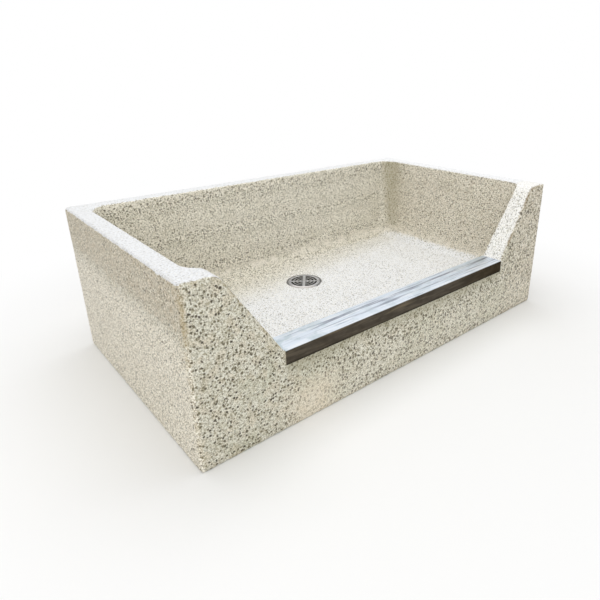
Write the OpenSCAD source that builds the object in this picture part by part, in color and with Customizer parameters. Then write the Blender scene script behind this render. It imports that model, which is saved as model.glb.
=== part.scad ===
// Drop-front mop basin in precast terrazzo, with a stainless threshold cap and a floor drain.
// Origin at the middle of the underside: +X to the right, +Y to the back wall, +Z up.

/* [Basin] */
// Width over the side walls
basin_w = 914; // [760:1:1070]
// Depth from the cap's front lip to the back face
basin_d = 522; // [480:1:700]
// Height of the side and back walls
basin_h = 305; // [280:1:330]
// Thickness of the side and back walls at the rim
rim_t = 35; // [30:1:42]
// Thickness of the front wall at the rim
front_t = 40; // [36:1:46]
// Lean of the inner wall faces from upright, in degrees
wall_lean = 3.5; // [2:0.5:5]
// Radius of the upright inner corners at the rim
corner_r = 30; // [24:1:40]
// Growth of that radius down to the floor
corner_growth = 22; // [20:1:30]
// Radius of the cove between the walls and the floor
cove_r = 28; // [18:1:32]
// Radius of the upright outer edges
arris_r = 4; // [2:1:8]
// Width of the eased edges round the rim
ease = 3; // [1:0.5:4]

/* [Floor and drain] */
// Height of the floor at the foot of the coves
floor_edge_z = 79; // [76:1:90]
// Height of the drain rim, the lowest part of the floor
drain_z = 70; // [66:1:72]
// How far the drain lies behind the middle of the basin
drain_y = 96; // [0:1:110]
// Diameter of the strainer plate
strainer_d = 80; // [80:1:90]
// Thickness of the strainer plate
strainer_t = 3; // [2.5:0.5:4]
// Turn of the strainer and its screws on the drain, in degrees
strainer_turn = -38; // [-90:1:90]
// Outside diameter of the waste pipe
pipe_d = 60.3; // [60:0.1:61]

/* [Drop front] */
// Height of the curb under its cap
curb_h = 146.5; // [135:0.5:165]
// Distance from a side face to the notch at the rim
notch_top = 57; // [50:1:80]
// Distance from a side face to the foot of the notch
notch_foot = 157; // [130:1:200]
// Radius of the notch's upper edges
notch_r = 26; // [10:1:40]
// Sheet thickness of the cap
cap_t = 1.5; // [1.2:0.1:2]
// Drop of the cap's front lip
lip_h = 26; // [18:0.5:30]
// Drop of the cap's back lip
back_lip_h = 12; // [8:0.5:16]
// Number of anchor straps under the cap
anchor_count = 5; // [3:1:7]

/* [Reinforcement] */
// Spacing of the mesh wires
mesh_pitch = 75; // [75:5:100]
// Diameter of the mesh wires
wire_d = 3; // [2:0.5:4]

/* [Hidden] */

$fn = 96;
small_sides = 32;
drain_sides = 48;
slip = 0.01;
over = 5;

terrazzo_colour = "#d2ccb8";
steel_colour = "#c3c8cd";
wire_colour = "#9aa0a3";
brass_colour = "#b79a5c";
rubber_colour = "#2b2b2b";

half_w = basin_w / 2;
half_d = basin_d / 2;
front_y = -half_d + cap_t;
floor_fall = basin_h - floor_edge_z;

// Arc and slice counts of the moulded curves
corner_steps = 8;
cove_steps = 7;
arris_steps = 4;
notch_steps = 10;

// Drop front, measured from the middle of the basin
notch_top_x = half_w - notch_top;
notch_foot_x = half_w - notch_foot;
notch_angle = atan((basin_h - curb_h) / (notch_top_x - notch_foot_x));
cap_depth = front_t + (basin_h - curb_h) * tan(wall_lean);
cap_back_y = front_y + cap_depth;
lip_bottom_z = curb_h + cap_t - lip_h;
back_lip_bottom_z = curb_h + cap_t - back_lip_h;

// Anchor straps: legs welded under the cap, with a foot that keys into the terrazzo
anchor_w = 25;
anchor_drop = 42;
anchor_foot = 12;
anchor_hole_r = 4;
anchor_margin = 60;
front_mid = 18;
anchor_y = front_y + front_mid + wire_d + anchor_foot;
anchor_spread = 2 * (notch_foot_x - anchor_margin);

// Drain body, radii and heights above the underside
pipe_r = pipe_d / 2;
seat_gap = 0.4;
recess_r = strainer_d / 2 + seat_gap;
body_rim_r = recess_r + 2;
ledge_z = drain_z - strainer_t;
throat_r = strainer_d / 2 - 7;
lip_r = pipe_r + 1.35;
shell_r = 41;
body_bottom_z = 3;
gasket_bottom_z = 12;
gasket_top_z = 42;
gasket_r = 36.5;
gasket_bore_r = pipe_r + 0.35;
gasket_bevel = 2;
cup_floor_z = gasket_top_z + 4;
cup_cone_z = cup_floor_z + 6;
collar_bottom_z = drain_z - 18;
anchor_ring_r = 58;
anchor_ring_z = 26;
anchor_ring_t = 4;

// Strainer: rings of slots cut by a wide bar and a narrow bar
screw_circle_r = strainer_d / 2 - 4;
slot_w = 4;
slot_rings = 4;
slot_pitch = 8;
inner_slot_r = 6;
wide_bar = 7;
narrow_bar = 6.5;
plate_bevel = 0.8;

// Countersunk screws of the strainer
screw_r = 1.5;
screw_head_r = 2.9;
screw_head_h = 1.65;
screw_l = 11;
driver_slot_w = 0.9;
driver_slot_h = 0.7;
tapped_r = 1.65;
tapped_depth = 11;
clear_r = 1.8;
head_gap = 0.15;

// Cover of terrazzo over the mesh
cover = 25;
wall_mid = 17;
floor_mesh_z = 32;
mesh_gap = 10;
wall_mesh_z = 50;
front_mesh_top_z = basin_h - 3 * cover;
weld_depth = 0.2;
wire_sides = 8;

// Points of an arc about c, from angle a0 to a1
function arc(c, r, a0, a1, steps) =
    [for (i = [0:steps]) c + r * [cos(a0 + (a1 - a0) * i / steps), sin(a0 + (a1 - a0) * i / steps)]];

// Outline of a rectangle from low to high with rounded corners
function rounded(low, high, r, steps) = concat(
    arc([high.x - r, high.y - r], r, 0, 90, steps),
    arc([low.x + r, high.y - r], r, 90, 180, steps),
    arc([low.x + r, low.y + r], r, 180, 270, steps),
    arc([high.x - r, low.y + r], r, 270, 360, steps)
);

// How far an inner wall face stands in from its rim at height z
function lean(z) = (basin_h - z) * tan(wall_lean);

// Outline of the bowl at height z, drawn in by inset
function bowl_outline(z, inset) = rounded(
    [-half_w + rim_t + lean(z) + inset, front_y + front_t + lean(z) + inset],
    [half_w - rim_t - lean(z) - inset, half_d - rim_t - lean(z) - inset],
    corner_r + corner_growth * (basin_h - z) / floor_fall - inset,
    corner_steps
);

// Right half of the notch, from its foot up to the rim, enlarged by grow
function notch_side(grow) = concat(
    [[notch_foot_x + grow, curb_h - grow]],
    arc(
        [notch_top_x + grow + notch_r * tan(notch_angle / 2), basin_h - notch_r],
        notch_r, 90 + notch_angle, 90, notch_steps
    ),
    [[notch_top_x + grow + notch_r * tan(notch_angle / 2), basin_h + over]]
);

function mirrored(points) = [for (i = [len(points) - 1:-1:0]) [-points[i].x, points[i].y]];

module slice(z, points) {
    translate([0, 0, z])
        linear_extrude(slip)
            polygon(points);
}

// The bowl: leaning walls, coved foot and a floor that falls to the drain
module bowl_space() {
    hull() {
        slice(basin_h + over, bowl_outline(basin_h + over, 0));
        for (i = [0:cove_steps]) {
            a = 90 * i / cove_steps;
            z = floor_edge_z + cove_r * (1 - sin(a));
            slice(z, bowl_outline(z, cove_r * (1 - cos(a))));
        }
        translate([0, drain_y, drain_z])
            cylinder(h = slip, r = body_rim_r, $fn = drain_sides);
    }
}

// Eased inner edge of the rim
module rim_flare() {
    hull() {
        slice(basin_h - ease, bowl_outline(basin_h - ease, 0));
        slice(basin_h + slip, bowl_outline(basin_h, -ease));
    }
}

// The gap in the front wall, cut straight through
module notch_space(grow = 0, depth = front_t + corner_r) {
    translate([0, front_y + depth, 0])
        rotate([90, 0, 0])
            linear_extrude(depth + over)
                polygon(concat(notch_side(grow), mirrored(notch_side(grow))));
}

// Prism that eases one straight top edge of length l
module edge_cut(l) {
    rotate([90, 0, 90])
        linear_extrude(l, center = true)
            polygon([[-over, -ease - over], [ease + over, over], [-over, over]]);
}

module outer_block() {
    difference() {
        linear_extrude(basin_h)
            polygon(rounded([-half_w, front_y], [half_w, half_d], arris_r, arris_steps));
        translate([0, front_y, basin_h])
            edge_cut(basin_w + 2 * over);
        rotate(180)
            translate([0, -half_d, basin_h])
                edge_cut(basin_w + 2 * over);
        for (turn = [90, 270])
            rotate(turn)
                translate([0, -half_w, basin_h])
                    edge_cut(basin_d + 2 * over);
    }
}

// Rebate that the cap's back lip lies in, flush with the bowl
module cap_rebate() {
    translate([-notch_foot_x, cap_back_y - cap_t, back_lip_bottom_z])
        cube([2 * notch_foot_x, cap_t + over, back_lip_h]);
}

// Half section of the drain body's outside, with its cast-in anchor ring
function drain_outside() = [
    [0, body_bottom_z],
    [shell_r, body_bottom_z],
    [shell_r, anchor_ring_z],
    [anchor_ring_r, anchor_ring_z],
    [anchor_ring_r, anchor_ring_z + anchor_ring_t],
    [shell_r, anchor_ring_z + anchor_ring_t],
    [shell_r, collar_bottom_z],
    [body_rim_r, collar_bottom_z + body_rim_r - shell_r],
    [body_rim_r, drain_z],
    [0, drain_z]
];

// Half section of the passage inside the drain body, from the pipe up to the strainer recess
function drain_inside() = [
    [0, -over],
    [lip_r, -over],
    [lip_r, gasket_bottom_z],
    [gasket_r, gasket_bottom_z],
    [gasket_r, gasket_top_z],
    [lip_r, gasket_top_z],
    [lip_r, cup_floor_z],
    [throat_r, cup_cone_z],
    [throat_r, ledge_z],
    [recess_r, ledge_z],
    [recess_r, drain_z + over],
    [0, drain_z + over]
];

module at_drain() {
    translate([0, drain_y, 0])
        rotate(strainer_turn)
            children();
}

module at_screws() {
    for (side = [-1, 1])
        translate([side * screw_circle_r, 0, drain_z])
            children();
}

module basin() {
    color(terrazzo_colour)
        difference() {
            outer_block();
            bowl_space();
            rim_flare();
            notch_space();
            cap_rebate();
            translate([0, drain_y, 0])
                rotate_extrude()
                    polygon(drain_outside());
            translate([0, drain_y, -over])
                cylinder(h = body_bottom_z + over + slip, r = shell_r);
            translate([0, drain_y, drain_z - slip])
                cylinder(h = floor_edge_z - drain_z, r = body_rim_r);
        }
}

// Folded sheet: top, front lip and shorter back lip, with bends rounded outside
module threshold_cap() {
    top_z = curb_h + cap_t;
    outer = concat(
        [[-half_d, lip_bottom_z]],
        arc([-half_d + cap_t, curb_h], cap_t, 180, 90, arris_steps),
        arc([cap_back_y - cap_t, curb_h], cap_t, 90, 0, arris_steps),
        [[cap_back_y, back_lip_bottom_z]]
    );
    inner = [
        [cap_back_y - cap_t, back_lip_bottom_z],
        [cap_back_y - cap_t, curb_h],
        [-half_d + cap_t, curb_h],
        [-half_d + cap_t, lip_bottom_z]
    ];
    color(steel_colour)
        translate([-notch_foot_x, 0, 0])
            rotate([90, 0, 90])
                linear_extrude(2 * notch_foot_x)
                    polygon(concat(outer, inner));
}

// Straps cast into the curb, each with a bent foot and a keying hole
module cap_anchors() {
    foot_z = curb_h - anchor_drop;
    color(wire_colour)
        for (i = [0:anchor_count - 1])
            translate([anchor_spread * (i / (anchor_count - 1) - 0.5), anchor_y, 0])
                difference() {
                    union() {
                        translate([-anchor_w / 2, 0, foot_z])
                            cube([anchor_w, cap_t, anchor_drop]);
                        translate([-anchor_w / 2, -anchor_foot, foot_z])
                            cube([anchor_w, anchor_foot + cap_t, cap_t]);
                    }
                    translate([0, -over, foot_z + anchor_drop / 2])
                        rotate([-90, 0, 0])
                            cylinder(h = 2 * over + cap_t, r = anchor_hole_r, $fn = small_sides);
                }
}

// Welded mat in the XY plane, from low to high: wires along X with wires along Y laid on them
module wire_mat(low, high) {
    size = high - low;
    rows = floor(size.y / mesh_pitch);
    columns = floor(size.x / mesh_pitch);
    for (i = [0:rows])
        translate([low.x, low.y + (size.y - rows * mesh_pitch) / 2 + i * mesh_pitch, 0])
            rotate([0, 90, 0])
                cylinder(h = size.x, d = wire_d, $fn = wire_sides);
    for (i = [0:columns])
        translate([low.x + (size.x - columns * mesh_pitch) / 2 + i * mesh_pitch, low.y,
            wire_d * (1 - weld_depth)])
            rotate([-90, 0, 0])
                cylinder(h = size.y, d = wire_d, $fn = wire_sides);
}

// Floor mat, cut away round the drain
module floor_mesh() {
    color(wire_colour)
        difference() {
            translate([0, 0, floor_mesh_z])
                wire_mat([-half_w + cover, -half_d + cover], [half_w - cover, half_d - cover]);
            translate([0, drain_y, 0])
                cylinder(h = drain_z, r = anchor_ring_r + mesh_gap);
        }
}

module back_mesh() {
    color(wire_colour)
        translate([0, half_d - wall_mid, 0])
            rotate([90, 0, 0])
                wire_mat([-half_w + cover, wall_mesh_z], [half_w - cover, basin_h - cover]);
}

// Mat of one side wall, drawn for the right wall
module side_mat() {
    translate([half_w - wall_mid, 0, 0])
        rotate([90, 0, -90])
            wire_mat([-half_d + 2 * cover, wall_mesh_z], [half_d - 2 * cover, basin_h - cover]);
}

module left_mesh() {
    color(wire_colour)
        mirror([1, 0, 0])
            side_mat();
}

module right_mesh() {
    color(wire_colour)
        side_mat();
}

// Front mat, cut to the outline of the drop front
module front_mesh() {
    color(wire_colour)
        difference() {
            translate([0, front_y + front_mid, 0])
                rotate([90, 0, 0])
                    wire_mat([-half_w + cover, wall_mesh_z], [half_w - cover, front_mesh_top_z]);
            notch_space(cover, front_t);
        }
}

// Cast body: rim and ledge for the strainer, cup, gasket chamber and pipe socket
module drain_body() {
    color(brass_colour)
        difference() {
            translate([0, drain_y, 0])
                rotate_extrude()
                    polygon(drain_outside());
            translate([0, drain_y, 0])
                rotate_extrude()
                    polygon(drain_inside());
            at_drain()
                at_screws()
                    translate([0, 0, -strainer_t - tapped_depth])
                        cylinder(h = tapped_depth + over, r = tapped_r, $fn = small_sides);
        }
}

// Push-in seal between the drain body and the waste pipe
module pipe_gasket() {
    color(rubber_colour)
        translate([0, drain_y, 0])
            rotate_extrude()
                polygon([
                    [gasket_bore_r + gasket_bevel, gasket_bottom_z],
                    [gasket_r, gasket_bottom_z],
                    [gasket_r, gasket_top_z],
                    [gasket_bore_r + gasket_bevel, gasket_top_z],
                    [gasket_bore_r, gasket_top_z - gasket_bevel],
                    [gasket_bore_r, gasket_bottom_z + gasket_bevel]
                ]);
}

// One round of slots before the bars are left standing
module slot_ring(r) {
    difference() {
        cylinder(h = strainer_t + 2 * over, r = r + slot_w / 2);
        translate([0, 0, -over])
            cylinder(h = strainer_t + 4 * over, r = r - slot_w / 2);
    }
}

module strainer() {
    color(steel_colour)
        at_drain()
            difference() {
                translate([0, 0, ledge_z])
                    rotate_extrude()
                        polygon([
                            [0, 0],
                            [strainer_d / 2, 0],
                            [strainer_d / 2, strainer_t - plate_bevel],
                            [strainer_d / 2 - plate_bevel, strainer_t],
                            [0, strainer_t]
                        ]);
                difference() {
                    for (i = [0:slot_rings - 1])
                        translate([0, 0, ledge_z - over])
                            slot_ring(inner_slot_r + i * slot_pitch);
                    translate([-strainer_d / 2, -narrow_bar / 2, 0])
                        cube([strainer_d, narrow_bar, drain_z + 2 * over]);
                    translate([-wide_bar / 2, -strainer_d / 2, 0])
                        cube([wide_bar, strainer_d, drain_z + 2 * over]);
                }
                at_screws() {
                    translate([0, 0, -strainer_t - over])
                        cylinder(h = strainer_t + 2 * over, r = clear_r, $fn = small_sides);
                    translate([0, 0, -screw_head_h - head_gap])
                        cylinder(h = screw_head_h + head_gap, r1 = clear_r, r2 = screw_head_r + head_gap,
                            $fn = small_sides);
                }
            }
}

module strainer_screws() {
    color(steel_colour)
        at_drain()
            at_screws()
                difference() {
                    union() {
                        translate([0, 0, -screw_head_h])
                            cylinder(h = screw_head_h, r1 = screw_r, r2 = screw_head_r, $fn = small_sides);
                        translate([0, 0, -screw_l])
                            cylinder(h = screw_l - screw_head_h + slip, r = screw_r, $fn = small_sides);
                    }
                    translate([-screw_head_r - slip, -driver_slot_w / 2, -driver_slot_h])
                        cube([2 * (screw_head_r + slip), driver_slot_w, driver_slot_h + over]);
                }
}

basin();
threshold_cap();
cap_anchors();
floor_mesh();
back_mesh();
left_mesh();
right_mesh();
front_mesh();
drain_body();
pipe_gasket();
strainer();
strainer_screws();
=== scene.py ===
"""Looks of a drop-front mop basin in precast terrazzo.
It has a stainless threshold cap on its curb, and a drain with a screwed-down strainer."""

import math

import bmesh
import bpy
import numpy as np
from mathutils import Matrix, Vector, noise


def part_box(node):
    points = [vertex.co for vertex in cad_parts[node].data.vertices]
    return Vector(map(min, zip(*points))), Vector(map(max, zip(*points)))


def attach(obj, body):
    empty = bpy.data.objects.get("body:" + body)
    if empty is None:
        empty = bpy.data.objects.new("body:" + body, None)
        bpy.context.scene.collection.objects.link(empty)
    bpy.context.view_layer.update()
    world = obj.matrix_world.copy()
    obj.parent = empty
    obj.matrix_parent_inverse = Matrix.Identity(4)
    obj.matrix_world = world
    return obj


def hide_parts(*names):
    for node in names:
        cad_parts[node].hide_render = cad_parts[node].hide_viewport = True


bl_info = {
    "name": "Mop Basin",
    "version": (1, 0, 0),
    "blender": (4, 5, 0),
    "location": "View3D > Sidebar > Mop Basin",
    "description": "Dresses the packed mop basin: terrazzo casting, threshold cap, drain and studio",
    "category": "Object",
}

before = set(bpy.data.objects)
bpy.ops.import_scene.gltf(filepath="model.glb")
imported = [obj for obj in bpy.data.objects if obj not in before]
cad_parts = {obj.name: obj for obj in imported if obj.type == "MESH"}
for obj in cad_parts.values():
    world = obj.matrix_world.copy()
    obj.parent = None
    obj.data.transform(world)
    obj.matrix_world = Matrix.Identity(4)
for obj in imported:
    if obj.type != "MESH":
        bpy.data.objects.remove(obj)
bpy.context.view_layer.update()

MM = 0.001
SINK = "sink"

BASIN_LOW, BASIN_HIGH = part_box("basin")
CAP_LOW, CAP_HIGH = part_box("threshold_cap")
DRAIN_LOW, DRAIN_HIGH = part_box("drain_body")
FRONT_Y = BASIN_LOW.y
DRAIN_Y = (DRAIN_LOW.y + DRAIN_HIGH.y) / 2

# Way from the middle of the drain to the side of its rims that carries a painted highlight
HIGHLIGHT_WAY = (-0.67, -0.74, 0.0)

# Camera fitted to the photograph's frame: place in metres, shift in frame widths, sensor in millimetres
CAMERA_PLACE = (-0.68215, -0.84073, 0.5575)
CAMERA_SHIFT = (-0.08425, -0.05528)
SENSOR_WIDTH = 36.0


def linear(code):
    """Turns an sRGB hex value into the linear colour that a shader takes."""
    parts = [int(code[i:i + 2], 16) / 255 for i in (1, 3, 5)]
    return tuple(c / 12.92 if c <= 0.04045 else ((c + 0.055) / 1.055) ** 2.4 for c in parts) + (1.0,)


def colour(label, text, code):
    """A colour setting whose default is an sRGB hex value."""
    return bpy.props.FloatVectorProperty(
        name=label, description=text, subtype="COLOR", size=4, min=0, max=1, default=linear(code)
    )


def length(label, text, default):
    """A size setting in metres."""
    return bpy.props.FloatProperty(name=label, description=text, default=default, min=0, unit="LENGTH")


def angle(label, text, degrees):
    """An angle setting."""
    return bpy.props.FloatProperty(
        name=label, description=text, default=math.radians(degrees), unit="ROTATION"
    )


def power(label, text, watts):
    """A setting for the power of a lamp."""
    return bpy.props.FloatProperty(name=label, description=text, default=watts, min=0, unit="POWER")


class TerrazzoSettings(bpy.types.PropertyGroup):
    """Sizes and colours of the terrazzo casting"""

    voxel: length("Mesh step", "Edge length of the casting's mesh before it is thinned out", 2.5 * MM)
    wave: length("Waviness", "Depth of the slow unevenness of the cast faces", 0.3 * MM)
    ragged: length("Ragged arris", "Depth of the small breaks along the edges", 2 * MM)
    kept: bpy.props.FloatProperty(
        name="Kept faces", description="Share of the casting's faces kept after thinning",
        default=0.2, min=0.05, max=1, subtype="FACTOR",
    )
    chip: length("Chip spacing", "Spacing of the middle marble chips", 4.8 * MM)
    matrix: colour("Matrix", "Cement between the chips on the upright faces", "#e5e3d5")
    ground: colour("Ground matrix", "Cement on the floor and the rim, ground paler", "#f2f4f7")
    dark: colour("Dark chip", "Darkest olive marble", "#494132")
    olive: colour("Olive chip", "Middle olive marble", "#7a745c")
    dove: colour("Dove chip", "Palest of the small grey chips", "#aba58e")
    pearl: colour("Pearl chip", "White marble", "#f1ecdd")


class CapSettings(bpy.types.PropertyGroup):
    """Sizes and colours of the threshold cap"""

    sheet: length("Sheet", "Thickness of the stainless sheet", 1.5 * MM)
    bend: length("Bend", "Outside radius of the two folds", 2.2 * MM)
    back_lip: length("Back lip", "Drop of the lip on the bowl's side", 12 * MM)
    dent: length("Waviness", "How far the bent edge wanders from straight", 0.5 * MM)
    steel: colour("Steel", "Brushed top of the cap", "#e5eef8")
    # The paler band along the front bend is a painted highlight
    bright: colour("Rubbed edge", "Paler band along the front bend", "#f0f5fb")
    streak: colour("Streak", "Darker lengthwise streaks on the top", "#868a9a")
    # The front lip's dark colour is a painted reflection of dark surroundings
    lip_reflection: colour("Front lip", "Dark film on the upright front lip", "#5a5349")


class DrainSettings(bpy.types.PropertyGroup):
    """Turn of the strainer, and colours of the drain's pieces and of the reinforcement"""

    turn: angle("Strainer turn", "Turn of the strainer's crossed bars", -38)
    satin: colour("Strainer", "Satin stainless of the strainer", "#dfe2ee")
    plated: colour("Rim", "Nickel plate on the drain's rim", "#a6a8b0")
    brass: colour("Brass", "Cast brass below the floor", "#b08d4c")
    # The drain's dark colour is a wet film with painted shade inside the drain
    grime_and_shade: colour("Drain film", "Dark wet film inside the drain", "#171614")
    rubber: colour("Gasket", "Moulded neoprene", "#222322")
    zinc: colour("Zinc", "Galvanised wires and straps", "#9da3a6")


class StudioSettings(bpy.types.PropertyGroup):
    """Camera, floor and lamps"""

    heading: angle("Heading", "Turn of the view from straight ahead to the right", 41.764)
    tilt: angle("Tilt", "How far the view looks down", 21.316)
    roll: angle("Roll", "Turn of the camera about its own axis", -0.029)
    lens: bpy.props.FloatProperty(
        name="Lens", description="Focal length on a 36 mm sensor",
        default=30.313, subtype="DISTANCE_CAMERA",
    )
    paper: colour("Floor", "Matt studio floor", "#f2f2f1")
    overhead: power("Overhead", "Power of the softbox over the basin", 28.0)
    front: power("Front", "Power of the softbox in front of the basin", 16.0)
    sky: bpy.props.FloatProperty(
        name="Sky", description="Strength of the even light from all sides", default=0.63, min=0
    )


# Node settings that come up often: a soft step, a product, a product plus a third value, and a colour mix
SOFT = {"interpolation_type": "SMOOTHSTEP"}
TIMES = {"operation": "MULTIPLY"}
TIMES_PLUS = {"operation": "MULTIPLY_ADD"}
COAT = {"data_type": "RGBA"}

# Inputs of a colour mix: how much of the upper coat shows, the coat under it, and the upper coat
SHARE, UNDER, OVER = 0, 6, 7


def add(tree, kind, feeds=(), **settings):
    """Adds one node with its settings.
    A feed is a value, a socket, or a node, whose first live output is then taken."""
    node = tree.nodes.new("ShaderNode" + kind)
    for name, value in settings.items():
        setattr(node, name, value)
    for key, feed in feeds.items() if isinstance(feeds, dict) else enumerate(feeds):
        if isinstance(feed, bpy.types.Node):
            feed = next(output for output in feed.outputs if output.enabled)
        if isinstance(feed, bpy.types.NodeSocket):
            tree.links.new(feed, node.inputs[key])
        else:
            node.inputs[key].default_value = feed
    return node


def blank_material(name):
    """An empty node material, its tree, and each point's place on the object."""
    material = bpy.data.materials.new(name)
    material.use_nodes = True
    tree = material.node_tree
    tree.nodes.clear()
    return material, tree, add(tree, "TexCoord").outputs["Object"]


def scales(length_mm, width_mm, depth_mm):
    """The scales along X, Y and Z that stretch a pattern to these sizes."""
    return 1 / (length_mm * MM), 1 / (width_mm * MM), 1 / (depth_mm * MM)


def marble_chips(tree, where, spacing, radius, swell, seed):
    """Broken marble of one grade, each chip up to one and a half times the radius in cells.
    Gives the cover of the chips, and two random values that are the same all over a chip."""
    moved = add(tree, "VectorMath", (where, (seed, -seed, 0.5 * seed)), operation="ADD")
    cell = add(tree, "TexVoronoi", {"Vector": moved, "Scale": 1 / spacing, "Randomness": 0.8})
    chance = add(tree, "SeparateColor", (cell.outputs["Color"],)).outputs
    reach = add(tree, "MapRange", (chance["Green"], 0.0, 1.0, 0.0, 1.5))
    for factor in (radius, swell):
        reach = add(tree, "Math", (reach, factor), **TIMES)
    inside = add(tree, "Math", (reach, cell.outputs["Distance"]), operation="SUBTRACT")
    return add(tree, "MapRange", (inside, -0.03, 0.06), **SOFT), chance["Red"], chance["Blue"]


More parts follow.
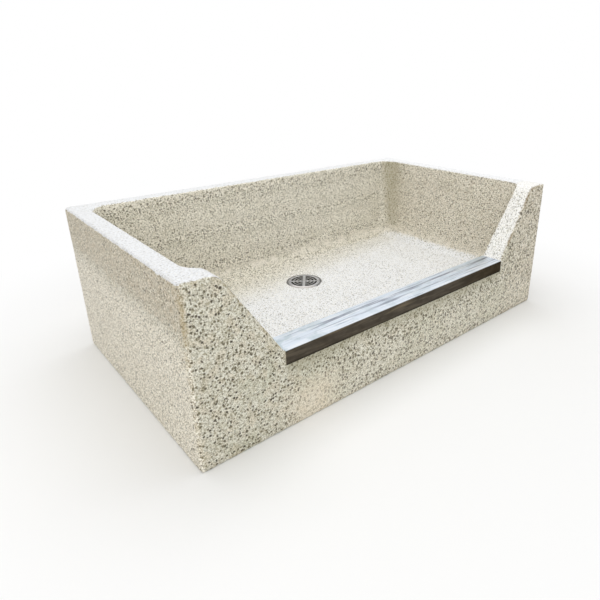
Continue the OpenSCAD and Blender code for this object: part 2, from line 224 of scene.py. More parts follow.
def precast_terrazzo(s):
    """Precast terrazzo, cream cement with olive marble chips, cast, then ground on its floor and rim.
    The eye sees dark olive specks in cream on the upright faces, and a paler, calmer floor and rim."""
    material, tree, where = blank_material("terrazzo_precast_ground")
    place = add(tree, "SeparateXYZ", (where,)).outputs
    facing = add(tree, "SeparateXYZ", (add(tree, "NewGeometry").outputs["Normal"],)).outputs

    # Ground areas, paler: all that faces up, and the side coves, where the pale is a painted highlight;
    # low down it fades out towards the back and left coves
    sideways = add(tree, "Math", (facing["X"],), operation="ABSOLUTE")
    lifted = add(tree, "Math", (sideways, 0.45, facing["Z"]), **TIMES_PLUS)
    jitter = add(tree, "TexNoise", {"Vector": where, "Scale": 1 / (3.4 * MM), "Detail": 2.0})
    patch = add(tree, "TexNoise", {"Vector": where, "Scale": 1 / (17 * MM), "Detail": 2.0})
    for blur, reach in ((jitter, 0.45), (patch, 0.35)):
        blur = add(tree, "Math", (blur, reach, -0.5 * reach), **TIMES_PLUS)
        lifted = add(tree, "Math", (blur, lifted))
    flat = add(tree, "MapRange", (lifted, 0.72, 0.90), **SOFT)
    skew = add(tree, "Math", (place["X"], -0.15, place["Y"]), **TIMES_PLUS)
    past_back = add(tree, "MapRange", (skew, 215 * MM, 65 * MM, 0.08), **SOFT)
    past_left = add(tree, "MapRange", (place["X"], -420 * MM, -250 * MM, 0.2), **SOFT)
    raised = add(tree, "MapRange", (place["Z"], 100 * MM, 130 * MM), **SOFT)
    worn = add(tree, "Math", (past_back, past_left), **TIMES)
    worn = add(tree, "Math", (worn, raised), operation="MAXIMUM")
    steep = add(tree, "MapRange", (sideways, 0.5, 0.8, 1.0, 0.93), **SOFT)
    ground = add(tree, "Math", (flat, worn), **TIMES)
    ground = add(tree, "Math", (ground, steep), **TIMES)

    # Where each face lies: the sides and back, the front, everything inside the bowl, and the rim.
    # An outer face's tone fades out from skin to skin_end under it. The bowl's fades in from clear to
    # clear_end inside the sides and the back, and as far behind a line 12 mm inside the front
    skin, skin_end = 3 * MM, 9 * MM
    clear, clear_end = 12 * MM, 26 * MM
    behind = FRONT_Y + 12 * MM
    aside = add(tree, "Math", (place["X"],), operation="ABSOLUTE")
    outer_side = add(tree, "MapRange", (aside, BASIN_HIGH.x - skin_end, BASIN_HIGH.x - skin), **SOFT)
    outer_back = add(tree, "MapRange", (place["Y"], BASIN_HIGH.y - skin_end, BASIN_HIGH.y - skin), **SOFT)
    side = add(tree, "Math", (outer_side, outer_back), operation="MAXIMUM")
    front = add(tree, "MapRange", (place["Y"], FRONT_Y + 8 * MM, FRONT_Y + 2 * MM), **SOFT)
    bowl = add(tree, "MapRange", (aside, BASIN_HIGH.x - clear, BASIN_HIGH.x - clear_end), **SOFT)
    off_front = add(tree, "MapRange", (place["Y"], behind + clear, behind + clear_end), **SOFT)
    off_back = add(tree, "MapRange", (place["Y"], BASIN_HIGH.y - clear, BASIN_HIGH.y - clear_end), **SOFT)
    above = add(tree, "MapRange", (place["Z"], 30 * MM, 50 * MM), **SOFT)
    for part in (off_front, off_back, above):
        bowl = add(tree, "Math", (bowl, part), **TIMES)
    rim = add(tree, "MapRange", (place["Z"], BASIN_HIGH.z - 14 * MM, BASIN_HIGH.z - 6 * MM), **SOFT)
    rim = add(tree, "Math", (rim, flat), **TIMES)

    # Places shaken by up to 2 mm or so, which gives the chips and worms broken outlines
    centred = add(tree, "VectorMath", (jitter.outputs["Color"], (0.5, 0.5, 0.5)), operation="SUBTRACT")
    broken = add(tree, "VectorMath", (centred, (3.6 * MM,) * 3, where), **TIMES_PLUS).outputs[0]

    # From clouds in the cement down to grains of sand; arris rises to 1 along the casting's sharp edges
    drift = add(tree, "TexNoise", {"Vector": where, "Scale": 1 / (75 * MM), "Detail": 3.0})
    bits = add(tree, "TexNoise", {"Vector": where, "Scale": 1 / (2.7 * MM), "Detail": 0.0})
    worms = add(tree, "TexNoise", {"Vector": broken, "Scale": 1 / (3.6 * MM), "Detail": 0.0})
    sand = add(tree, "TexNoise", {"Vector": where, "Scale": 1 / (1.7 * MM), "Detail": 1.0})
    arris = add(tree, "Attribute", attribute_name="arris").outputs["Fac"]

    # Large soft changes of the cement: the left side is pale below a darker band, and the front is
    # paler past its left pillar and warmer at its right end
    left = add(tree, "MapRange", (place["X"], BASIN_LOW.x + skin_end, BASIN_LOW.x + skin), **SOFT)
    others = add(tree, "Math", (side, left), operation="SUBTRACT", use_clamp=True)
    side_band = add(tree, "MapRange", (place["Z"], 215 * MM, 245 * MM, 0.0, 0.45), **SOFT)
    side_pale = add(tree, "MapRange", (place["Z"], 235 * MM, 190 * MM), **SOFT)
    off_outer = add(tree, "MapRange", (side, 0.0, 1.0, 1.0, 0.3))
    cloud = add(tree, "MapRange", (drift, 0.46, 0.60, 0.0, 0.6), **SOFT)
    past_pillar = add(tree, "MapRange", (place["X"], -330 * MM, -150 * MM), **SOFT)
    past_pillar = add(tree, "Math", (past_pillar, front), **TIMES)
    right_end = add(tree, "MapRange", (place["X"], 270 * MM, 400 * MM), **SOFT)
    right_end = add(tree, "Math", (right_end, front), **TIMES)
    rim_tone = add(tree, "MapRange", (place["X"], 250 * MM, 430 * MM, 0.8, 0.1), **SOFT)
    by_notch = add(tree, "MapRange", (place["X"], CAP_HIGH.x - 15 * MM, CAP_HIGH.x), **SOFT)
    on_notch = add(tree, "MapRange", (place["Y"], FRONT_Y + 60 * MM, FRONT_Y + 42 * MM, 0.0, 0.5), **SOFT)
    for part in (by_notch, ground):
        on_notch = add(tree, "Math", (on_notch, part), **TIMES)
    cement = s.matrix
    for share, tone in (
        (add(tree, "Math", (cloud, off_outer), **TIMES), linear("#cbccb6")),
        (add(tree, "MapRange", (patch, 0.46, 0.66, 0.0, 0.4), **SOFT), linear("#d9c9ae")),
        (add(tree, "MapRange", (patch, 0.44, 0.32, 0.0, 0.35), **SOFT), linear("#c4bfa6")),
        # Inside the bowl the cement is painted paler, painted light that makes up for the shade of its
        # walls
        (add(tree, "Math", (bowl, 0.75), **TIMES), linear("#f1ecdf")),
        (add(tree, "Math", (others, 0.6), **TIMES), linear("#f3e9d8")),
        (add(tree, "Math", (left, side_band), **TIMES), linear("#d0c2aa")),
        (add(tree, "Math", (left, side_pale), **TIMES), linear("#fffaeb")),
        (add(tree, "Math", (past_pillar, 0.3), **TIMES), linear("#fffbee")),
        (add(tree, "Math", (right_end, 0.35), **TIMES), linear("#fff6e6")),
        (ground, s.ground),
        (add(tree, "Math", (rim, rim_tone), **TIMES), linear("#e2e4e7")),
        # A painted highlight on the right notch slope beside the cap
        (on_notch, linear("#fffcf4")),
    ):
        cement = add(tree, "Mix", {SHARE: share, UNDER: cement, OVER: tone}, **COAT)

    # How strongly chips stand out: full on upright faces, a little less at the right end of the front,
    # less again on the ground floor and notch, and least on the rim
    soften = 1.0
    level = add(tree, "Math", (ground, steep), **TIMES)
    for zone, kept in ((level, 0.65), (rim, 0.5), (right_end, 0.85)):
        share = add(tree, "MapRange", (zone, 0.0, 1.0, 1.0, kept))
        soften = add(tree, "Math", (soften, share), **TIMES)

    # Sand, browner at the right and on the sides, then pale bits, and dark bits and worms of stone dust
    grains = add(tree, "MapRange", (sand, 0.36, 0.56, 0.75, 0.0), **SOFT)
    off_ground = add(tree, "MapRange", (ground, 0.0, 1.0, 1.0, 0.3))
    grains = add(tree, "Math", (grains, off_ground), **TIMES)
    at_right = add(tree, "MapRange", (place["X"], 385 * MM, 412 * MM), **SOFT)
    browner = add(tree, "Math", (at_right, bowl, side), **TIMES_PLUS)
    browner = add(tree, "Math", (browner, right_end), operation="MAXIMUM")
    grit = add(tree, "Mix", {SHARE: browner, UNDER: linear("#a39b80"), OVER: linear("#957f58")}, **COAT)
    body = add(tree, "Mix", {SHARE: grains, UNDER: cement, OVER: grit}, **COAT)
    off_face = add(tree, "MapRange", (front, 0.0, 1.0, 1.0, 0.25))
    half_face = add(tree, "MapRange", (front, 0.0, 1.0, 1.0, 0.6))
    for flecks, low, high, cover, within, tone in (
        (bits, 0.36, 0.28, 0.9, off_face, linear("#f6f1e3")),
        (bits, 0.60, 0.69, 0.75, half_face, linear("#675f49")),
        (worms, 0.62, 0.69, 0.5, front, linear("#675f49")),
    ):
        share = add(tree, "MapRange", (flecks, low, high, 0.0, cover), **SOFT)
        for part in (within, soften):
            share = add(tree, "Math", (share, part), **TIMES)
        body = add(tree, "Mix", {SHARE: share, UNDER: body, OVER: tone}, **COAT)

    # Three grades of chips, from the smallest up. They show larger on the front, most of all past its
    # left pillar
    swell = add(tree, "Math", (past_pillar, 0.22, 0.8), **TIMES_PLUS)
    swell = add(tree, "Math", (front, 0.2, swell), **TIMES_PLUS)
    swell = add(tree, "Math", (browner, 0.04, swell), **TIMES_PLUS)
    for size, radius, seed, dark, middle, pale in (
        (0.55, 0.30, 12.9, s.olive, s.dove, s.pearl),
        (1.0, 0.32, 7.7, s.dark, s.olive, s.dove),
        (1.9, 0.16, 3.1, s.dark, s.olive, s.dove),
    ):
        cover, tint, rare = marble_chips(tree, broken, s.chip * size, radius, swell, seed)
        tint = add(tree, "MapRange", (tint, 0.15, 0.8))
        rare = add(tree, "MapRange", (rare, 0.84, 0.86))
        shown = add(tree, "Math", (cover, soften), **TIMES)
        stone = add(tree, "Mix", {SHARE: tint, UNDER: dark, OVER: middle}, **COAT)
        stone = add(tree, "Mix", {SHARE: rare, UNDER: stone, OVER: pale}, **COAT)
        body = add(tree, "Mix", {SHARE: shown, UNDER: body, OVER: stone}, **COAT)

    # Painted shade under the cap's lip and in the back right corner, stains down the sides' front arrises
    # and along broken edges, paler patches at the foot of the front and of the bowl's walls, and a few
    # dark pits
    lip_low = add(tree, "MapRange", (place["Z"], CAP_LOW.z - 34 * MM, CAP_LOW.z, 0.0, 0.55), **SOFT)
    under_cap = add(tree, "MapRange", (aside, CAP_HIGH.x + 8 * MM, CAP_HIGH.x - 10 * MM), **SOFT)
    beside_cap = add(tree, "MapRange", (place["Z"], CAP_LOW.z + 4 * MM, CAP_LOW.z), **SOFT)
    corner_y = add(tree, "MapRange", (place["Y"], 150 * MM, 210 * MM, 0.0, 0.5), **SOFT)
    near_arris = add(tree, "MapRange", (place["Y"], FRONT_Y + 50 * MM, FRONT_Y + 2 * MM), **SOFT)
    near_top = add(tree, "MapRange", (place["Z"], 130 * MM, 270 * MM, 0.05, 0.2), **SOFT)
    chance = add(tree, "MapRange", (patch, 0.40, 0.62), **SOFT)
    front_arris = add(tree, "MapRange", (place["Y"], FRONT_Y + 6 * MM, FRONT_Y + 3 * MM), **SOFT)
    not_flat = add(tree, "MapRange", (facing["Z"], 0.7, 0.4), **SOFT)
    pale_x = add(tree, "MapRange", (place["X"], -165 * MM, -235 * MM), **SOFT)
    pale_end = add(tree, "MapRange", (place["X"], -330 * MM, -250 * MM), **SOFT)
    pale_z = add(tree, "MapRange", (place["Z"], 95 * MM, 50 * MM, 0.0, 0.4), **SOFT)
    low_foot = add(tree, "MapRange", (place["Z"], 128 * MM, 98 * MM, 0.0, 0.6), **SOFT)
    pit = add(tree, "TexVoronoi", {"Vector": broken, "Scale": 1 / (40 * MM)})
    hole = add(tree, "MapRange", (pit, 0.055, 0.040), **SOFT)
    for shares, tone in (
        # Painted shadow on the front just under the cap's lip
        ((lip_low, under_cap, beside_cap, front), linear("#8f8a6f")),
        # Painted shade in the bowl's back right corner
        ((at_right, corner_y, bowl, not_flat), linear("#857d56")),
        ((side, near_arris, near_top, chance), linear("#b5a278")),
        ((pale_x, pale_end, pale_z, front), linear("#efe0c8")),
        ((past_pillar, pale_z, 0.35), linear("#f6f0e0")),
        ((low_foot, bowl, not_flat, chance), linear("#efe9dc")),
        ((arris, not_flat, chance, 0.4), linear("#a8986c")),
        ((arris, by_notch, front_arris, chance, 0.8), linear("#7d6a4c")),
        ((hole, not_flat, soften), linear("#35321f")),
    ):
        share = 1.0
        for part in shares:
            share = add(tree, "Math", (share, part), **TIMES)
        body = add(tree, "Mix", {SHARE: share, UNDER: body, OVER: tone}, **COAT)

    # Sand and the coarsest chips stand a little proud, and the pits go in
    dents = add(tree, "Math", (cover, 0.3, sand), **TIMES_PLUS)
    dents = add(tree, "Math", (hole, -1.6, dents), **TIMES_PLUS)
    depth = add(tree, "Math", (soften, 0.35), **TIMES)
    bump = add(tree, "Bump", {"Height": dents, "Strength": depth, "Distance": 0.3 * MM})
    rough = add(tree, "MapRange", (ground, 0.0, 1.0, 0.58, 0.42))
    shader = add(
        tree, "BsdfPrincipled",
        {"Base Color": body, "Roughness": rough, "Normal": bump, "IOR": 1.5},
    )
    add(tree, "OutputMaterial", (shader,))
    return material


def brushed_stainless(s):
    """Stainless sheet, brushed along its length and folded.
    The eye sees a cool pale top with long soft streaks and a painted highlight along its front bend, and
    a front lip painted dark and brown as a painted reflection."""
    material, tree, where = blank_material("stainless_brushed_folded")
    place = add(tree, "SeparateXYZ", (where,)).outputs
    facing = add(tree, "SeparateXYZ", (add(tree, "NewGeometry").outputs["Normal"],)).outputs
    lip = add(tree, "MapRange", (facing["Y"], -0.55, -0.9), **SOFT)
    aside = add(tree, "Math", (facing["X"],), operation="ABSOLUTE")
    cut_end = add(tree, "MapRange", (aside, 0.8, 0.95), **SOFT)

    # Brush lines are far finer than a pixel, so they are drawn as streaks of about 4 mm by 80 mm
    along = add(tree, "Mapping", {"Vector": where, "Scale": scales(83.3333, 3.84615, 8.33333)})
    lines = add(tree, "TexNoise", {"Vector": along, "Scale": 1.0, "Detail": 4.0, "Roughness": 0.62})
    far_along = add(tree, "Mapping", {"Vector": where, "Scale": scales(166.667, 16.66667, 16.66667)})
    rubs = add(tree, "TexNoise", {"Vector": far_along, "Scale": 1.0, "Detail": 2.0})
    blots = add(tree, "TexNoise", {"Vector": where, "Scale": 1 / (26 * MM), "Detail": 4.0})

    # Two bands of darker streaks run along the cap, each given as where it starts, is darkest and ends
    # on the way from the front bend to the back one. Both wander a little, and are faint at the left end
    across = add(tree, "MapRange", (place["Y"], CAP_LOW.y, CAP_HIGH.y))
    across = add(tree, "Math", (rubs, 0.16, across), **TIMES_PLUS)
    left_end, left_past = CAP_LOW.x + 20 * MM, CAP_LOW.x + 130 * MM
    started = add(tree, "MapRange", (place["X"], left_end, left_past, 0.2, 1.0), **SOFT)
    shade = s.steel
    for low, crest, high, strength in ((0.34, 0.45, 0.54, 0.7), (0.62, 0.76, 0.90, 1.0)):
        rise = add(tree, "MapRange", (across, low, crest), **SOFT)
        fall = add(tree, "MapRange", (across, high, crest), **SOFT)
        share = add(tree, "MapRange", (lines, 0.38, 0.60, 0.0, strength), **SOFT)
        for part in (rise, fall, started):
            share = add(tree, "Math", (share, part), **TIMES)
        shade = add(tree, "Mix", {SHARE: share, UNDER: shade, OVER: s.streak}, **COAT)

    # A dark broken line at the back bend, blots that thin out to the right, and a painted highlight along
    # the front bend
    near_back = add(tree, "MapRange", (across, 1.04, 1.08), **SOFT)
    gap = add(tree, "MapRange", (blots, 0.56, 0.60), **SOFT)
    gap = add(tree, "Math", (near_back, gap), **TIMES)
    end_blots = add(tree, "MapRange", (blots, 0.48, 0.62, 0.0, 0.6), **SOFT)
    at_end = add(tree, "MapRange", (started, 0.2, 1.0, 1.0, 0.4))
    end_blots = add(tree, "Math", (end_blots, at_end), **TIMES)
    rubbing_and_sheen = add(tree, "MapRange", (across, 0.36, 0.12, 0.0, 0.25), **SOFT)
    rubbing_and_sheen = add(tree, "Math", (rubbing_and_sheen, started), **TIMES)
    for share, tone in (
        (rubbing_and_sheen, s.bright),
        (add(tree, "MapRange", (lines, 0.5, 0.36, 0.0, 0.8), **SOFT), linear("#f6f9fd")),
        (add(tree, "MapRange", (lines, 0.56, 0.68, 0.0, 0.6), **SOFT), s.streak),
        (end_blots, linear("#b7c8cd")),
        (gap, linear("#4e4f52")),
    ):
        shade = add(tree, "Mix", {SHARE: share, UNDER: shade, OVER: tone}, **COAT)

    # The lip's dark colour is a painted reflection: blotched, streaked, darker to the right and darkest
    # along its lower edge
    to_right = add(tree, "MapRange", (place["X"], 50 * MM, CAP_HIGH.x - 20 * MM), **SOFT)
    uneven = add(tree, "MapRange", (blots, 0.40, 0.60, 1.0, 0.85))
    to_right = add(tree, "Math", (to_right, uneven), **TIMES)
    low_edge = add(tree, "MapRange", (place["Z"], CAP_LOW.z + 5 * MM, CAP_LOW.z, 0.0, 0.8), **SOFT)
    film = s.lip_reflection
    for share, tone in (
        (add(tree, "MapRange", (blots, 0.42, 0.60, 0.0, 0.5), **SOFT), linear("#453f35")),
        (add(tree, "MapRange", (lines, 0.52, 0.40, 0.0, 0.5), **SOFT), linear("#72695b")),
        (add(tree, "MapRange", (rubs, 0.50, 0.64, 0.0, 0.6), **SOFT), linear("#8d816c")),
        (to_right, linear("#372d1b")),
        (low_edge, linear("#28241b")),
    ):
        film = add(tree, "Mix", {SHARE: share, UNDER: film, OVER: tone}, **COAT)
    for share, tone in ((lip, film), (cut_end, linear("#cbc6ba"))):
        shade = add(tree, "Mix", {SHARE: share, UNDER: shade, OVER: tone}, **COAT)

    rough = add(tree, "MapRange", (lines, 0.3, 0.7, 0.38, 0.54))
    rough = add(tree, "Math", (lip, 0.3, rough), **TIMES_PLUS)
    bump = add(tree, "Bump", {"Height": lines, "Strength": 0.2, "Distance": 0.1 * MM})
    shader = add(
        tree, "BsdfPrincipled",
        {"Base Color": shade, "Roughness": rough, "Normal": bump, "Metallic": 1.0},
    )
    add(tree, "OutputMaterial", (shader,))
    return material


def satin_stainless(s):
    """Stainless plate, stamped and satin finished, painted paler on one side of its edge as a painted
    highlight.
    The eye sees a soft grey with rubbing marks, black slots lined by a wet film and painted shade, and a
    pale edge."""
    material, tree, where = blank_material("stainless_satin_stamped")
    facing = add(tree, "SeparateXYZ", (add(tree, "NewGeometry").outputs["Normal"],)).outputs
    stain = add(tree, "TexNoise", {"Vector": where, "Scale": 1 / (12 * MM), "Detail": 3.0})
    # Rubbing marks about 8 mm long and 1 mm wide
    rubbing_and_sheen = add(tree, "Mapping", {"Vector": where, "Scale": scales(1.11111, 8.33333, 2.5)})
    lines = add(tree, "TexNoise", {"Vector": rubbing_and_sheen, "Scale": 1.0, "Detail": 2.0})
    # The slot walls are darkened with the wet film and painted shade
    walls = add(tree, "MapRange", (facing["Z"], 0.9, 0.6), **SOFT)

    # The two crossed bars are rubbed bright, and the arcs between the slots have stayed dull
    centred = add(tree, "VectorMath", (where, (0.0, DRAIN_Y, 0.0)), operation="SUBTRACT")
    spread = add(tree, "VectorMath", (centred, (1.0, 1.0, 0.0)), **TIMES)
    spread = add(tree, "VectorMath", (spread,), operation="LENGTH").outputs["Value"]
    slots_end, rim_start = 31 * MM, 34 * MM
    dull = add(tree, "MapRange", (spread, rim_start, slots_end, 0.0, 0.48), **SOFT)
    for turn in (0, math.pi / 2):
        way = (math.cos(s.turn + turn), math.sin(s.turn + turn), 0.0)
        off = add(tree, "VectorMath", (centred, way), operation="DOT_PRODUCT").outputs["Value"]
        off = add(tree, "Math", (off,), operation="ABSOLUTE")
        off = add(tree, "MapRange", (off, 2.6 * MM, 3.6 * MM), **SOFT)
        dull = add(tree, "Math", (dull, off), **TIMES)
    # The edge's side toward the front left is painted pale and matt, a painted highlight
    toward = add(tree, "VectorMath", (centred, HIGHLIGHT_WAY), operation="DOT_PRODUCT").outputs["Value"]
    near = add(tree, "MapRange", (toward, 20 * MM, 36 * MM, 0.0, 0.9), **SOFT)
    outside = add(tree, "MapRange", (spread, slots_end, rim_start), **SOFT)
    near_highlight = add(tree, "Math", (outside, near), **TIMES)
    shade = s.satin
    for share, tone in (
        (add(tree, "MapRange", (stain, 0.45, 0.7, 0.0, 0.5), **SOFT), linear("#b4b5b7")),
        (add(tree, "MapRange", (lines, 0.5, 0.75, 0.0, 0.5), **SOFT), linear("#f4f5f7")),
        (dull, linear("#77787a")),
        (near_highlight, linear("#e9e4e2")),
        (walls, s.grime_and_shade),
    ):
        shade = add(tree, "Mix", {SHARE: share, UNDER: shade, OVER: tone}, **COAT)
    rough = add(tree, "MapRange", (lines, 0.3, 0.7, 0.34, 0.48))
    bump = add(tree, "Bump", {"Height": lines, "Strength": 0.15, "Distance": 0.05 * MM})
    metal = add(tree, "MapRange", (near_highlight, 0.0, 1.0, 1.0, 0.0))
    shader = add(
        tree, "BsdfPrincipled",
        {"Base Color": shade, "Roughness": rough, "Normal": bump, "Metallic": metal},
    )
    add(tree, "OutputMaterial", (shader,))
    return material


def cast_brass(s):
    """Sand-cast brass, turned and nickel plated at its rim, painted paler on one side of the rim as a
    painted highlight, with a film inside that is partly painted shade.
    The eye sees a dull grey ring, pale on one side, black below it from a wet film and painted shade, and
    grainy yellow metal outside."""
    material, tree, where = blank_material("brass_cast_nickel_rim")
    place = add(tree, "SeparateXYZ", (where,)).outputs

    # Level distance from the middle of the drain
    flat = add(tree, "VectorMath", (where, (1.0, 1.0, 0.0), (0.0, -DRAIN_Y, 0.0)), **TIMES_PLUS)
    spread = add(tree, "VectorMath", (flat,), operation="LENGTH").outputs["Value"]
    sand = add(tree, "TexNoise", {"Vector": where, "Scale": 1 / (1.2 * MM), "Detail": 3.0})
    plate = add(tree, "MapRange", (place["Z"], DRAIN_HIGH.z - 14 * MM, DRAIN_HIGH.z - 10 * MM), **SOFT)
    within = add(tree, "MapRange", (spread, 38 * MM, 36 * MM), **SOFT)
    off_foot = add(tree, "MapRange", (place["Z"], 1 * MM, 4 * MM), **SOFT)
    # Inside the drain, a dark wet film with painted shade
    wet_and_shaded = add(tree, "Math", (within, off_foot), **TIMES)
    # The plated rim's side toward the front left is painted pale and matt, a painted highlight
    toward = add(tree, "VectorMath", (flat, HIGHLIGHT_WAY), operation="DOT_PRODUCT").outputs["Value"]
    near = add(tree, "MapRange", (toward, 22 * MM, 38 * MM, 0.0, 0.9), **SOFT)
    near_highlight = add(tree, "Math", (plate, near), **TIMES)
    shade, rough = s.brass, (0.55, 0.55, 0.55, 1.0)
    for share, tone, matt in (
        (add(tree, "MapRange", (sand, 0.35, 0.65), **SOFT), linear("#8a6c3a"), 0.6),
        (plate, s.plated, 0.38),
        (near_highlight, linear("#e9e4e2"), 0.6),
        (wet_and_shaded, s.grime_and_shade, 0.6),
    ):
        shade = add(tree, "Mix", {SHARE: share, UNDER: shade, OVER: tone}, **COAT)
        rough = add(tree, "Mix", {SHARE: share, UNDER: rough, OVER: (matt, matt, matt, 1.0)}, **COAT)
    bump = add(tree, "Bump", {"Height": sand, "Strength": 0.3, "Distance": 0.15 * MM})
    covered = add(tree, "Math", (wet_and_shaded, near_highlight), operation="MAXIMUM")
    metal = add(tree, "MapRange", (covered, 0.0, 1.0, 1.0, 0.0))
    shader = add(
        tree, "BsdfPrincipled",
        {"Base Color": shade, "Roughness": rough, "Normal": bump, "Metallic": metal},
    )
    add(tree, "OutputMaterial", (shader,))
    return material


def moulded_neoprene(s):
    """Neoprene, moulded, dusted with talc.
    The eye sees matt black with a slightly grey bloom."""
    material, tree, where = blank_material("neoprene_moulded")
    bloom = add(tree, "TexNoise", {"Vector": where, "Scale": 1 / (9 * MM), "Detail": 4.0})
    share = add(tree, "MapRange", (bloom, 0.45, 0.8, 0.0, 0.5), **SOFT)
    shade = add(tree, "Mix", {SHARE: share, UNDER: s.rubber, OVER: linear("#4b4c4a")}, **COAT)
    rough = add(tree, "MapRange", (bloom, 0.3, 0.7, 0.6, 0.8))
    bump = add(tree, "Bump", {"Height": bloom, "Strength": 0.2, "Distance": 0.2 * MM})
    shader = add(
        tree, "BsdfPrincipled",
        {"Base Color": shade, "Roughness": rough, "Normal": bump, "IOR": 1.52},
    )
    add(tree, "OutputMaterial", (shader,))
    return material


def galvanised_steel(s):
    """Steel wire and strap, hot-dip galvanised.
    The eye sees dull blue-grey zinc broken into small spangles."""
    material, tree, where = blank_material("steel_galvanised")
    spangle = add(tree, "TexVoronoi", {"Vector": where, "Scale": 1 / (4 * MM)})
    tint = add(tree, "SeparateColor", (spangle.outputs["Color"],)).outputs["Red"]
    shade = add(tree, "Mix", {SHARE: tint, UNDER: s.zinc, OVER: linear("#7d858b")}, **COAT)
    rough = add(tree, "MapRange", (tint, 0.0, 1.0, 0.38, 0.56))
    shader = add(tree, "BsdfPrincipled", {"Base Color": shade, "Roughness": rough, "Metallic": 1.0})
    add(tree, "OutputMaterial", (shader,))
    return material


def finished(name, mesh, material):
    """A smooth-shaded object made from a mesh, with its material."""
    mesh.materials.clear()
    mesh.materials.append(material)
    mesh.polygons.foreach_set("use_smooth", [True] * len(mesh.polygons))
    piece = bpy.data.objects.new(name, mesh)
    bpy.context.scene.collection.objects.link(piece)
    return piece


def dress(node, material):
    """Gives a CAD node its material."""
    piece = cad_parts[node]
    piece.data.materials.clear()
    piece.data.materials.append(material)


def evaluated_copy(piece):
    """The mesh of an object with its modifiers applied."""
    return bpy.data.meshes.new_from_object(piece.evaluated_get(bpy.context.evaluated_depsgraph_get()))


def rows(mesh, attribute):
    """A vector attribute of the mesh's vertices, as rows of an array."""
    flat = np.empty(len(mesh.vertices) * 3)
    mesh.vertices.foreach_get(attribute, flat)
    return flat.reshape(-1, 3)


def casting_solid():
    """The CAD casting welded into one shell, with the rebate for the cap's back lip filled.
    The remesh then stays even there, and the lip stands a hair proud of the filling."""
    shell = bmesh.new()
    shell.from_mesh(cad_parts["basin"].data)
    bmesh.ops.remove_doubles(shell, verts=shell.verts, dist=0.01 * MM)
    thick, deep = 4 * MM, 16 * MM
    hair, sheet = 0.2 * MM, 1.5 * MM
    low = Vector((CAP_LOW.x, CAP_HIGH.y - thick, CAP_HIGH.z - deep))
    high = Vector((CAP_HIGH.x, CAP_HIGH.y - hair, CAP_HIGH.z - sheet))
    placed = Matrix.Translation((low + high) / 2) @ Matrix.Diagonal((*(high - low), 1))
    bmesh.ops.create_cube(shell, size=1, matrix=placed)
    mesh = bpy.data.meshes.new("casting_solid")
    shell.to_mesh(mesh)
    shell.free()
    return mesh


def weathered(mesh, worn, s):
    """Moves the casting's points in, by slow waves on its faces and small breaks along its arrises.
    The worn points are the same ones after much more smoothing, which pulls only the arrises in."""
    co = rows(mesh, "co")
    normals = rows(mesh, "normal")
    pulled_in = np.einsum("ij,ij->i", co - worn, normals)
    full_arris = 0.45 * s.voxel
    arris = np.clip(pulled_in / full_arris, 0, 1)

    # Each wave's direction, length in millimetres and phase
    waves = (((1, 0.3, 0.2), 210, 0.4), ((0.2, 1, -0.4), 160, 1.9), ((-0.5, 0.4, 1), 120, 3.1))
    slow = 0
    for way, span, phase in waves:
        slow = slow + np.sin(co @ np.array(way) * 2 * np.pi / (span * MM) + phase)
    depth = s.wave * (0.5 + 0.5 * slow / len(waves))

    # Breaks about 7 mm long, gathered in stretches of about 35 mm
    for i in np.nonzero(arris > 0.2)[0]:
        small = noise.noise(Vector(co[i]) / (7 * MM))
        large = noise.noise(Vector(co[i]) / (35 * MM))
        depth[i] += arris[i] * s.ragged * max(0.0, 0.15 + small + 0.5 * large)
    mesh.vertices.foreach_set("co", (co - normals * depth[:, None]).ravel())
    mesh.attributes.new("arris", "FLOAT", "POINT").data.foreach_set("value", arris)


class BASIN_OT_casting(bpy.types.Operator):
    """Make the terrazzo casting from the CAD solid"""

    bl_idname = "mop_basin.casting"
    bl_label = "Terrazzo Casting"

    def execute(self, context):
        s = context.scene.mop_terrazzo
        blank = bpy.data.objects.new("casting_blank", casting_solid())
        context.scene.collection.objects.link(blank)
        cells = blank.modifiers.new("cells", "REMESH")
        cells.mode = "VOXEL"
        coarser = 1
        eased, rounded = 2, 14
        cells.voxel_size = s.voxel * coarser
        ease = blank.modifiers.new("ease", "SMOOTH")
        ease.iterations = eased
        mesh = evaluated_copy(blank)
        ease.iterations = rounded
        weathered(mesh, rows(evaluated_copy(blank), "co"), s)
        blank.modifiers.clear()
        blank.data = mesh
        thin = blank.modifiers.new("thin", "DECIMATE")
        thin.ratio = s.kept
        mesh = evaluated_copy(blank)
        bpy.data.objects.remove(blank)
        basin = finished("terrazzo_casting", mesh, precast_terrazzo(s))
        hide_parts("basin")
        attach(basin, SINK)
        return {"FINISHED"}


def cap_section(s):
    """Points round the folded sheet's section, in Y and Z.
    They run over the outside from the foot of the front lip, and back along the inside."""
    bend = s.bend
    inner = bend - s.sheet
    steps = 5
    front, back = CAP_LOW.y, CAP_HIGH.y
    low, top = CAP_LOW.z, CAP_HIGH.z

    def corner(y, radius, start):
        turns = [math.radians(start - 90 * i / steps) for i in range(steps + 1)]
        return [(y + radius * math.cos(a), top - bend + radius * math.sin(a)) for a in turns]

    outside = [(front, low)] + corner(front + bend, bend, 180) + corner(back - bend, bend, 90)
    inside = corner(back - bend, inner, 90)[::-1] + corner(front + bend, inner, 180)[::-1]
    back_foot = [(back, top - s.back_lip), (back - s.sheet, top - s.back_lip)]
    return outside + back_foot + inside + [(front + s.sheet, low)]


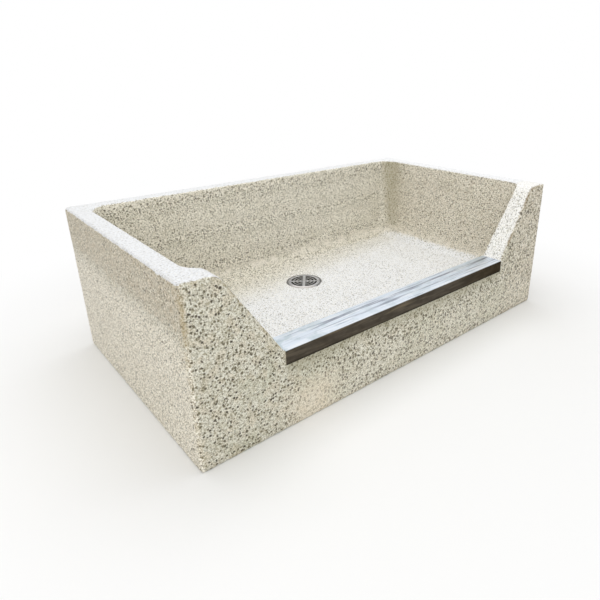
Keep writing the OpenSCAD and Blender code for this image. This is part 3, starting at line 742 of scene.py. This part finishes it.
class BASIN_OT_cap(bpy.types.Operator):
    """Fold the stainless threshold cap over the curb"""

    bl_idname = "mop_basin.cap"
    bl_label = "Threshold Cap"

    def execute(self, context):
        s = context.scene.mop_cap
        section = cap_section(s)
        stations = 90
        bend_reach, wander_span = 6 * MM, 110 * MM

        # The push below is 1.5 at most, so the wander stays inside its setting
        swing = 0.6 * s.dent
        shell = bmesh.new()
        rings = []
        for i in range(stations + 1):
            x = CAP_LOW.x + (CAP_HIGH.x - CAP_LOW.x) * i / stations
            ring = []
            for y, z in section:
                near_front = max(0.0, 1 - (y - CAP_LOW.y) / bend_reach)
                height = (z - CAP_LOW.z) / (CAP_HIGH.z - CAP_LOW.z)
                push = max(0.0, 0.5 + noise.noise(Vector((x / wander_span, height * 0.7, 2.3))))
                ring.append(shell.verts.new((x, y + swing * near_front * push, z)))
            rings.append(ring)
        for first, second in zip(rings, rings[1:]):
            for j in range(len(section)):
                k = (j + 1) % len(section)
                shell.faces.new((first[j], first[k], second[k], second[j]))
        shell.faces.new(rings[0][::-1])
        shell.faces.new(rings[-1])
        bmesh.ops.recalc_face_normals(shell, faces=shell.faces)
        mesh = bpy.data.meshes.new("threshold_cap_sheet")
        shell.to_mesh(mesh)
        shell.free()
        cap = finished("threshold_cap_sheet", mesh, brushed_stainless(s))
        mesh.set_sharp_from_angle(angle=math.radians(40))
        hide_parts("threshold_cap")
        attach(cap, SINK)
        return {"FINISHED"}


class BASIN_OT_drain(bpy.types.Operator):
    """Finish the strainer, its screws, the drain body and the gasket"""

    bl_idname = "mop_basin.drain"
    bl_label = "Drain and Strainer"

    def execute(self, context):
        s = context.scene.mop_drain
        satin = satin_stainless(s)
        dress("strainer", satin)
        dress("strainer_screws", satin)
        dress("drain_body", cast_brass(s))
        dress("pipe_gasket", moulded_neoprene(s))
        return {"FINISHED"}


class BASIN_OT_reinforcement(bpy.types.Operator):
    """Finish the wire mats and the cap's anchor straps"""

    bl_idname = "mop_basin.reinforcement"
    bl_label = "Reinforcement"

    def execute(self, context):
        zinc = galvanised_steel(context.scene.mop_drain)
        for node in ("cap_anchors", "floor_mesh", "back_mesh", "left_mesh", "right_mesh", "front_mesh"):
            dress(node, zinc)
        return {"FINISHED"}


def shown_white(tree):
    """A share that is 1 for what the camera, metal and glass see directly."""
    path = add(tree, "LightPath").outputs
    seen = add(tree, "Math", (path["Is Camera Ray"], path["Is Glossy Ray"]), operation="ADD")
    return add(tree, "Math", (seen, path["Is Transmission Ray"]), operation="ADD", use_clamp=True)


def studio_floor(s):
    """A painted board floor, matt white, that turns into the plain background away from the basin.
    The eye sees only the basin's soft shadow on it."""
    material, tree, where = blank_material("painted_board_matt")

    # The paint fades into plain white between half a metre and a metre from the middle of the basin
    away = add(tree, "VectorMath", (where,), operation="LENGTH").outputs["Value"]
    paint = add(tree, "BsdfDiffuse", {"Color": s.paper})
    white = add(tree, "Emission", {"Color": (1, 1, 1, 1), "Strength": 1.0})
    far = add(tree, "MapRange", (away, 0.5, 1.0), **SOFT)
    share = add(tree, "Math", (far, shown_white(tree)), **TIMES)
    add(tree, "OutputMaterial", (add(tree, "MixShader", (share, paint, white)),))
    return material


def softbox(name, watts, size, place, target):
    """A rectangular area lamp that looks at a point, returned for further settings."""
    lamp = bpy.data.lights.new(name, "AREA")
    lamp.shape = "RECTANGLE"
    lamp.energy = watts
    lamp.size, lamp.size_y = size
    holder = bpy.data.objects.new(name, lamp)
    holder.location = place
    holder.rotation_euler = (Vector(target) - Vector(place)).to_track_quat("-Z", "Y").to_euler()
    bpy.context.scene.collection.objects.link(holder)
    return holder


class BASIN_OT_studio(bpy.types.Operator):
    """Set up the floor, the lamps, the world and the camera"""

    bl_idname = "mop_basin.studio"
    bl_label = "Studio"

    def execute(self, context):
        s = context.scene.mop_studio
        scene = context.scene
        half_side, under_basin = 8.0, 0.2 * MM
        board = bmesh.new()
        bmesh.ops.create_grid(board, x_segments=1, y_segments=1, size=half_side)
        mesh = bpy.data.meshes.new("studio_floor")
        board.to_mesh(mesh)
        board.free()
        floor = finished("studio_floor", mesh, studio_floor(s))
        floor.location.z = -under_basin

        # The overhead softbox isn't mirrored, or the steel would clip to white seen from above
        overhead = softbox(
            "overhead_softbox", s.overhead, size=(2.4, 2.0), place=(0.0, 0.1, 2.3), target=(0, 0, 0.1)
        )
        overhead.visible_glossy = False
        softbox(
            "front_softbox", s.front, size=(2.2, 1.6), place=(-1.6, -2.2, 1.3), target=(0, 0, 0.15)
        )

        world = bpy.data.worlds.new("studio_air")
        scene.world = world
        world.use_nodes = True
        tree = world.node_tree
        tree.nodes.clear()
        strength = add(tree, "MapRange", (shown_white(tree), 0.0, 1.0, s.sky, 1.0))
        air = add(tree, "Background", {"Color": (1, 1, 1, 1), "Strength": strength})
        add(tree, "OutputWorld", (air,))
        scene.view_settings.view_transform = "Standard"

        camera = bpy.data.cameras.new("photo_camera")
        camera.lens = s.lens
        camera.sensor_width = SENSOR_WIDTH
        camera.shift_x, camera.shift_y = CAMERA_SHIFT
        holder = bpy.data.objects.new("photo_camera", camera)
        turn = (
            Matrix.Rotation(-s.heading, 4, "Z")
            @ Matrix.Rotation(math.pi / 2 - s.tilt, 4, "X")
            @ Matrix.Rotation(s.roll, 4, "Z")
        )
        holder.matrix_world = Matrix.Translation(CAMERA_PLACE) @ turn
        scene.collection.objects.link(holder)
        scene.camera = holder
        return {"FINISHED"}


class BASIN_PT_panel(bpy.types.Panel):
    """Sidebar panel with the basin's settings"""

    bl_idname = "BASIN_PT_panel"
    bl_label = "Mop Basin"
    bl_space_type = "VIEW_3D"
    bl_region_type = "UI"
    bl_category = "Mop Basin"

    def draw(self, context):
        for group, operators in (
            ("mop_terrazzo", ("mop_basin.casting",)),
            ("mop_cap", ("mop_basin.cap",)),
            ("mop_drain", ("mop_basin.drain", "mop_basin.reinforcement")),
            ("mop_studio", ("mop_basin.studio",)),
        ):
            box = self.layout.box()
            settings = getattr(context.scene, group)
            for name in type(settings).__annotations__:
                box.prop(settings, name)
            for operator in operators:
                box.operator(operator)


SETTINGS = (
    ("mop_terrazzo", TerrazzoSettings),
    ("mop_cap", CapSettings),
    ("mop_drain", DrainSettings),
    ("mop_studio", StudioSettings),
)
TOOLS = (
    BASIN_OT_casting,
    BASIN_OT_cap,
    BASIN_OT_drain,
    BASIN_OT_reinforcement,
    BASIN_OT_studio,
    BASIN_PT_panel,
)


def register():
    for name, group in SETTINGS:
        bpy.utils.register_class(group)
        setattr(bpy.types.Scene, name, bpy.props.PointerProperty(type=group))
    for tool in TOOLS:
        bpy.utils.register_class(tool)


def unregister():
    for tool in reversed(TOOLS):
        bpy.utils.unregister_class(tool)
    for name, group in reversed(SETTINGS):
        delattr(bpy.types.Scene, name)
        bpy.utils.unregister_class(group)


def main():
    """Builds every piece in order."""
    register()
    bpy.ops.mop_basin.casting()
    bpy.ops.mop_basin.cap()
    bpy.ops.mop_basin.drain()
    bpy.ops.mop_basin.reinforcement()
    bpy.ops.mop_basin.studio()


if __name__ == "__main__":
    main()
